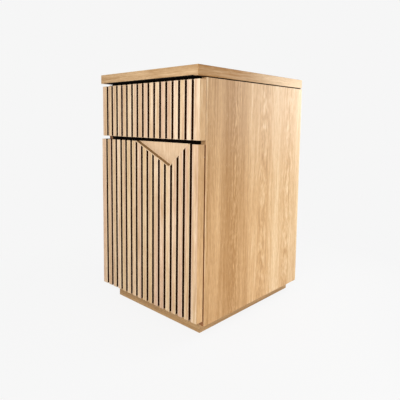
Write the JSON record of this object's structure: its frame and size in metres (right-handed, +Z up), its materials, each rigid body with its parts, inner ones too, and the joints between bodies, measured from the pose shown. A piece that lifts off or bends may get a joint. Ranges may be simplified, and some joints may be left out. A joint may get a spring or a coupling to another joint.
{
  "type": "nightstand",
  "caption": "Oak nightstand: slatted drawer on telescopic runners over a slatted cup-hinged door with a triangular finger pull, under an overhanging top and on a set-back plinth.",
  "frame": {"origin": "centre of the bounding box at floor level", "axes": "+Z up, front faces -Y, +X to the right seen from the front (the door's free edge)"},
  "size_m": [0.38, 0.452, 0.648],
  "materials": {
    "oak": "light oak veneer, matt lacquer",
    "oak_slat": "pale oak facing strips, matt lacquer",
    "dark_core": "through-dyed dark fibreboard",
    "drawer_box_wood": "pale wood, clear lacquer",
    "runner_steel": "zinc-plated steel strip",
    "hinge_nickel": "nickel-plated steel",
    "beech": "plain beech",
    "bumper": "soft translucent buffer"
  },
  "bodies": {
    "carcass": {"top_panel": "oak", "sub_top": "dark_core", "side_panel_left": "oak", "side_panel_right": "oak", "side_lipping_left": "oak", "side_lipping_right": "oak", "bottom_panel": "oak", "divider": "dark_core", "back_panel": "oak", "shelf": "oak", "shelf_pins": "hinge_nickel", "plinth_front": "oak", "plinth_back": "oak", "plinth_left": "oak", "plinth_right": "oak", "plinth_block_front_left": "beech", "plinth_block_front_right": "beech", "plinth_block_back_left": "beech", "plinth_block_back_right": "beech", "carcass_tenons": "beech", "top_screws": "hinge_nickel", "hinge_plate_upper": "hinge_nickel", "hinge_plate_lower": "hinge_nickel", "hinge_arm_upper": "hinge_nickel", "hinge_arm_lower": "hinge_nickel", "hinge_plate_screws": "hinge_nickel", "slide_outer_left": "runner_steel", "slide_outer_right": "runner_steel", "slide_outer_screws": "hinge_nickel", "door_bumpers": "bumper"},
    "runner_middles": {"slide_middle_left": "runner_steel", "slide_middle_right": "runner_steel"},
    "drawer": {"drawer_core": "dark_core", "drawer_facing": "oak_slat", "drawer_band_left": "oak", "drawer_band_right": "oak", "drawer_band_top": "oak", "drawer_band_bottom": "oak", "drawer_box_left": "drawer_box_wood", "drawer_box_right": "drawer_box_wood", "drawer_box_front": "drawer_box_wood", "drawer_box_back": "drawer_box_wood", "drawer_tray": "drawer_box_wood", "slide_inner_left": "runner_steel", "slide_inner_right": "runner_steel", "slide_inner_screws": "hinge_nickel", "drawer_front_screws": "hinge_nickel"},
    "door": {"door_core": "dark_core", "door_facing": "oak_slat", "door_band_left": "oak", "door_band_right": "oak", "door_band_top": "dark_core", "door_band_bottom": "oak", "door_pull": "oak", "hinge_cup_upper": "hinge_nickel", "hinge_cup_lower": "hinge_nickel", "hinge_pins": "hinge_nickel", "hinge_cup_screws": "hinge_nickel"}
  },
  "joints": [
    {"name": "drawer_slide", "type": "slide", "parent": "carcass", "child": "drawer", "axis": [0, -1, 0], "range_m": [0, 0.33]},
    {"name": "runner_slide", "type": "slide", "parent": "carcass", "child": "runner_middles", "axis": [0, -1, 0], "range_m": [0, 0.165]},
    {"name": "door_hinge", "type": "hinge", "parent": "carcass", "child": "door", "pos_m": [-0.182, -0.211, 0.25675], "axis": [0, 0, -1], "range_deg": [0, 95]}
  ],
  "couplings": [
    {"joint": "runner_slide", "follows": "drawer_slide", "ratio": 0.5}
  ]
}
